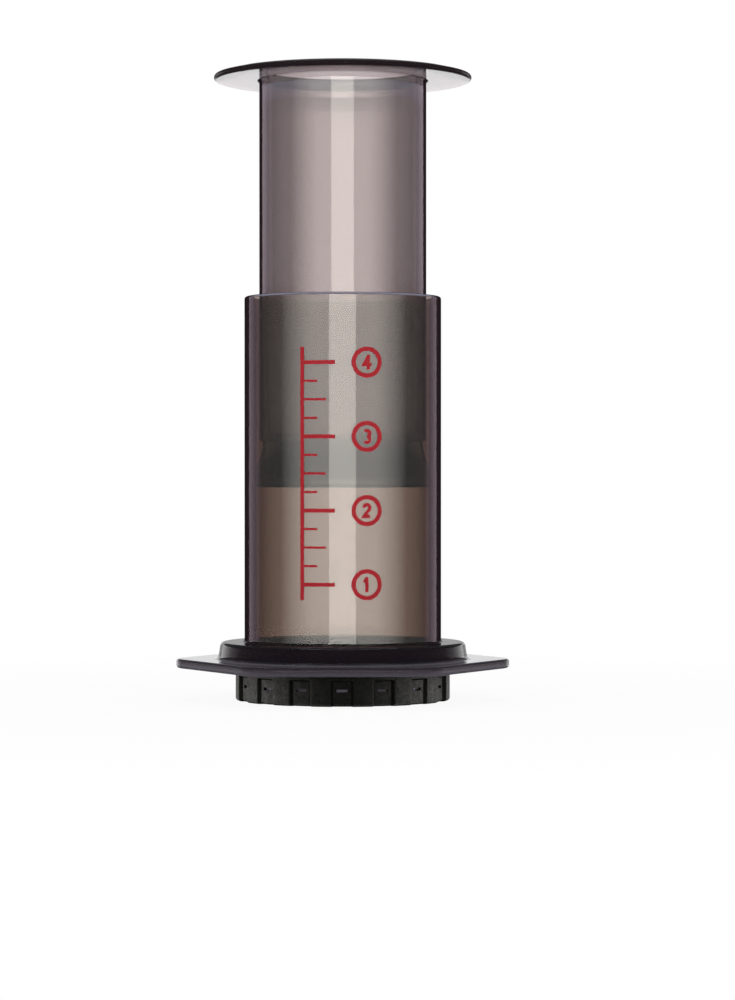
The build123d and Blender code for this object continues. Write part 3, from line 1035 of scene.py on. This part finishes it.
cap_corners = [
    (0, 0), (underside_edge, 0), (cap_outer, 0, 1.0, 0, 1), (cap_outer, grip_middle, 0, 0, 1)
]
for band_step in range(band_steps + 1):
    share = band_step / band_steps
    sunk_share = 1 - share * share * (3 - 2 * share)
    cap_corners.append((cap_outer, notch_top + fade * (2 * share - 1), 0, 0, sunk_share))
cap_corners += [
    (cap_outer, cap_height, 0.35), (cap_inner, cap_height, 0.35), (cap_inner, cap_floor, 0.3),
    (seat_outer, cap_floor), (seat_outer, cap_floor + ring_rise),
    (seat_inner, cap_floor + ring_rise), (seat_inner, cap_floor),
]
for ring_number in range(hole_rings, -1, -1):
    middle = (ring_number + 0.5) * hole_step
    for side, lift in ((1, 0), (1, 1), (-1, 1), (-1, 0)):
        cap_corners.append((middle + side * ring_half_width, cap_floor + lift * ring_rise))
cap_corners.append((0, cap_floor))
cap = section_object("cap_body", cap_corners, closed=False)
apply_tree(
    cap, turned, cap_plastic, Steps=24 * notch_count, Notch_Count=notch_count,
    Notch_Depth=notch_depth * mm, Notch_Width=notch_width * mm, Notch_Edge=notch_edge * mm,
    Notch_Radius=cap_outer * mm,
)

# %% [markdown]
# ### Holes, slots and lugs
#
# The holes between the rings are round cutters in rows, and the slots, one in each notch, are bars
# that run through the wall. The lugs are the spigot's over again, turned inwards: they share its
# slope, so they can climb over it.

# %% Holes, slots and lugs
slot_height, slot_width, slot_tall, past_wall = 5.1, 3.6, 1.0, 0.6
cap_lug_height = 7.122
holes = grown(
    "holes", perforation, cap_plastic, Rings=hole_rings, Ring_Step=hole_step * mm,
    Hole_Radius=hole_radius * mm, Depth=4 * cap_floor * mm,
)
combine(cap, holes, "DIFFERENCE")
slots = grown(
    "slots", bars, cap_plastic, Count=notch_count, Start_Radius=(cap_inner - past_wall) * mm,
    End_Radius=(cap_outer + past_wall) * mm, Height=slot_height * mm, Width=slot_width * mm,
    Thickness=slot_tall * mm, Edge_Round=0.25 * mm,
)
combine(cap, slots, "DIFFERENCE")
cap_lugs = ring_of_lugs(
    "cap_lugs", cap_plastic, cap_inner - (lug_reach - into_wall) / 2, cap_lug_height
)
combine(cap, cap_lugs, "UNION")
finished(cap, (holes, slots, cap_lugs))
print(3 * hole_rings * (hole_rings + 1) + 1, "holes and", notch_count, "slots")
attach(cap, "filter_cap")
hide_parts("filter_cap")

# %% [markdown]
# ## The paper disc
#
# A plain round paper with a soft cut edge lies on the low rings of the cap's floor. It could be cut
# from a sheet, but it is so flat and so still that a thin turned disc is the plainest way.

# %% The paper disc
paper_reach, paper_foot, paper_top, cut_edge = 31.9, 2.4, 2.7, 0.12
paper_corners = [
    (0, paper_foot), (paper_reach, paper_foot, cut_edge), (paper_reach, paper_top, cut_edge),
    (0, paper_top),
]
paper_disc = section_object("paper_disc", paper_corners, closed=False)
apply_tree(paper_disc, turned, paper, Steps=192)
finished(paper_disc)
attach(paper_disc, "paper_filter")
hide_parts("paper_filter")

# %% [markdown]
# ## The camera
#
# The press was photographed from a little above its flange, with a long lens and almost level. So
# the camera stands about a metre away at that height, tips down by half a degree, and its lens is
# as long as the press needs to fill the picture. Clear walls behind clear walls use up the bounces
# of a ray, and a ray that runs out of them turns black, so there are more of them than usual.

# %% The camera
scene = bpy.context.scene
scene.view_settings.view_transform = "Standard"
scene.cycles.transparent_max_bounces = 48
scene.cycles.transmission_bounces = 16
scene.cycles.max_bounces = 20

camera_side, camera_distance, camera_height = 0.00823, 1.067, 0.07717
tilt_down, lens, sensor = 0.573, 115.2, 36.0
camera = bpy.data.objects.new("camera", bpy.data.cameras.new("camera"))
scene.collection.objects.link(camera)
camera.data.lens = lens
camera.data.sensor_width = sensor
camera.location = (camera_side, -camera_distance, camera_height)
camera.rotation_euler = (math.radians(90 - tilt_down), 0, 0)
scene.camera = camera
print("camera", camera_distance, "m away, sees", round(camera_distance * sensor / lens, 3), "m")

# %% [markdown]
# ## The studio that the plastic mirrors
#
# Polished tubes are drawn by what they mirror. A camera ray that misses the press sees plain white,
# and so does one that went through clear plastic. Only a mirrored ray sees the studio: a dim room
# with a broad pale panel in front, a narrow window in the middle of it, and further panels behind.
# Each is a ramp over the ray's direction, so its edge can be as soft or as hard as the strips that
# show on the tubes. The way to the front, the back or a side is the cosine of the angle to it: it
# is 1 straight there, 0.966 at 15 degrees and 0 straight across. Rays that are neither mirrored nor
# seen get an even half light.

# %% Which way a ray goes
world = bpy.data.worlds.new("studio")
scene.world = world
world.use_nodes = True
tree = world.node_tree
tree.nodes.clear()
ray = node(tree, "ShaderNodeTexCoord", output="Generated")
ray_x, ray_y, rise = [coordinate(tree, ray, axis) for axis in "XYZ"]
drop = 0 - rise
level_length = (ray_x * ray_x + ray_y * ray_y).root()
side, back = ray_x / level_length, ray_y / level_length
front = 0 - back
lean = math.radians(1.7)
shoulders = front * math.cos(lean) + side * math.sin(lean)
print("a ray's way is read by", len(tree.nodes), "nodes")

# %% The panels of the studio
room = 0.45
broad_panel = 3.4 * shoulders.ramp(0.20, 0.80)
window = 3.6 * front.ramp(0.9620, 0.9655)
side_panels = 0.75 * back.ramp(0.36, 0.48)
back_panels = 1.7 * back.ramp(0.56, 0.80) - 1.9 * back.ramp(0.88, 0.92)
low_back = 0.3 * back.ramp(0.88, 0.92) * drop.ramp(0.0, 0.05)
ring = room + broad_panel + window + side_panels + back_panels + low_back

below = 0.2 + 1.6 * (front.ramp(-0.9, -0.5) - front.ramp(0.1, 0.7))
from_below = drop.ramp(0.055, 0.060) * (1 - back.ramp(0.5, 0.7))
ring = ring + (below - ring) * from_below
print("the panels make it", len(tree.nodes), "nodes")

# %% White to the eye, studio to the gloss
ceiling, even_light = 0.12, 0.5
low_enough = rise.ramp(-0.20, -0.15) * (1 - rise.ramp(0.19, 0.23))
mirrored = ceiling + (ring - ceiling) * low_enough
strength = even_light + (mirrored - even_light) * ray_is(tree, "Glossy")
strength = strength.most(ray_is(tree, "Camera", "Transmission"))
background = node(tree, "ShaderNodeBackground", Color=(1, 1, 1), Strength=strength)
end_shader("studio", tree, "ShaderNodeOutputWorld", Surface=background)

# %% [markdown]
# ## The floor
#
# The press stands on a white surface that runs into the white background. To the eye it shines at
# nearly full white of its own, and a small share of ordinary matt paint keeps the press's shadow.
# Away from the press that share fades to nothing. Seen from below, the floor isn't there, so the
# cap's underside can be looked at.

# %% The floor's finish
floor_white, tree = new_material("floor_white")
place = node(tree, "ShaderNodeTexCoord", output="Object")
reach = vector_maths(tree, "LENGTH", place, output="Value")
paint = node(tree, "ShaderNodeBsdfDiffuse", Color=(0.9, 0.9, 0.9))
white = node(tree, "ShaderNodeEmission", Color=(1, 1, 1), Strength=1.0)
white_share = 0.93 + 0.07 * reach.ramp(0.10, 0.30)
seen = ray_is(tree, "Camera", "Glossy", "Transmission")
from_above = mixed(tree, seen * white_share, paint, white)
from_below = node(tree, "ShaderNodeNewGeometry", output="Backfacing")
unseen = node(tree, "ShaderNodeBsdfTransparent")
end_shader("floor_white", tree, Surface=mixed(tree, from_below, from_above, unseen))

# %% The floor itself
floor_radius = 1.6
floor_mesh = bpy.data.meshes.new("floor")
work = bmesh.new()
bmesh.ops.create_circle(work, cap_ends=True, radius=floor_radius, segments=96)
work.to_mesh(floor_mesh)
work.free()
floor = bpy.data.objects.new("floor", floor_mesh)
scene.collection.objects.link(floor)
floor_mesh.materials.append(floor_white)
floor.visible_glossy = False
print("floor", 2 * floor_radius, "m across")

# %% [markdown]
# ## Soft lamps
#
# The lamps light the matt pieces and cast the soft shadow. Their brightness is given as that of the
# lamp's face, so a lamp can grow without burning out what it lights. All but the top one are hidden
# from the gloss, because the panels above already are what the tubes mirror.


# %% Soft lamps
aim = Vector((0, 0, 0.10))


def softbox(name, place, width, height, radiance, glossy=False):
    """A rectangular lamp that faces the press; radiance is how bright its face is."""
    lamp = bpy.data.lights.new(name, "AREA")
    lamp.shape = "RECTANGLE"
    lamp.size = width
    lamp.size_y = height
    lamp.energy = radiance * width * height * math.pi
    box = bpy.data.objects.new(name, lamp)
    scene.collection.objects.link(box)
    box.location = place
    box.rotation_euler = (aim - Vector(place)).to_track_quat("-Z", "Y").to_euler()
    box.visible_camera = False
    box.visible_transmission = False
    box.visible_glossy = glossy
    print(name, round(lamp.energy, 2), "W")


softbox("front_fill", (0.0, -1.6, 0.3), 1.2, 0.6, 1.0)
softbox("left_fill", (-1.2, -0.3, 0.3), 0.8, 0.8, 1.8)
softbox("right_fill", (1.2, -0.3, 0.3), 0.8, 0.8, 1.8)
softbox("top", (0.0, 0.1, 1.1), 0.8, 0.8, 1.5, glossy=True)

# %% [markdown]
# ## The size of the rounder pieces
#
# The rounder pieces have to keep to the size of the construction.
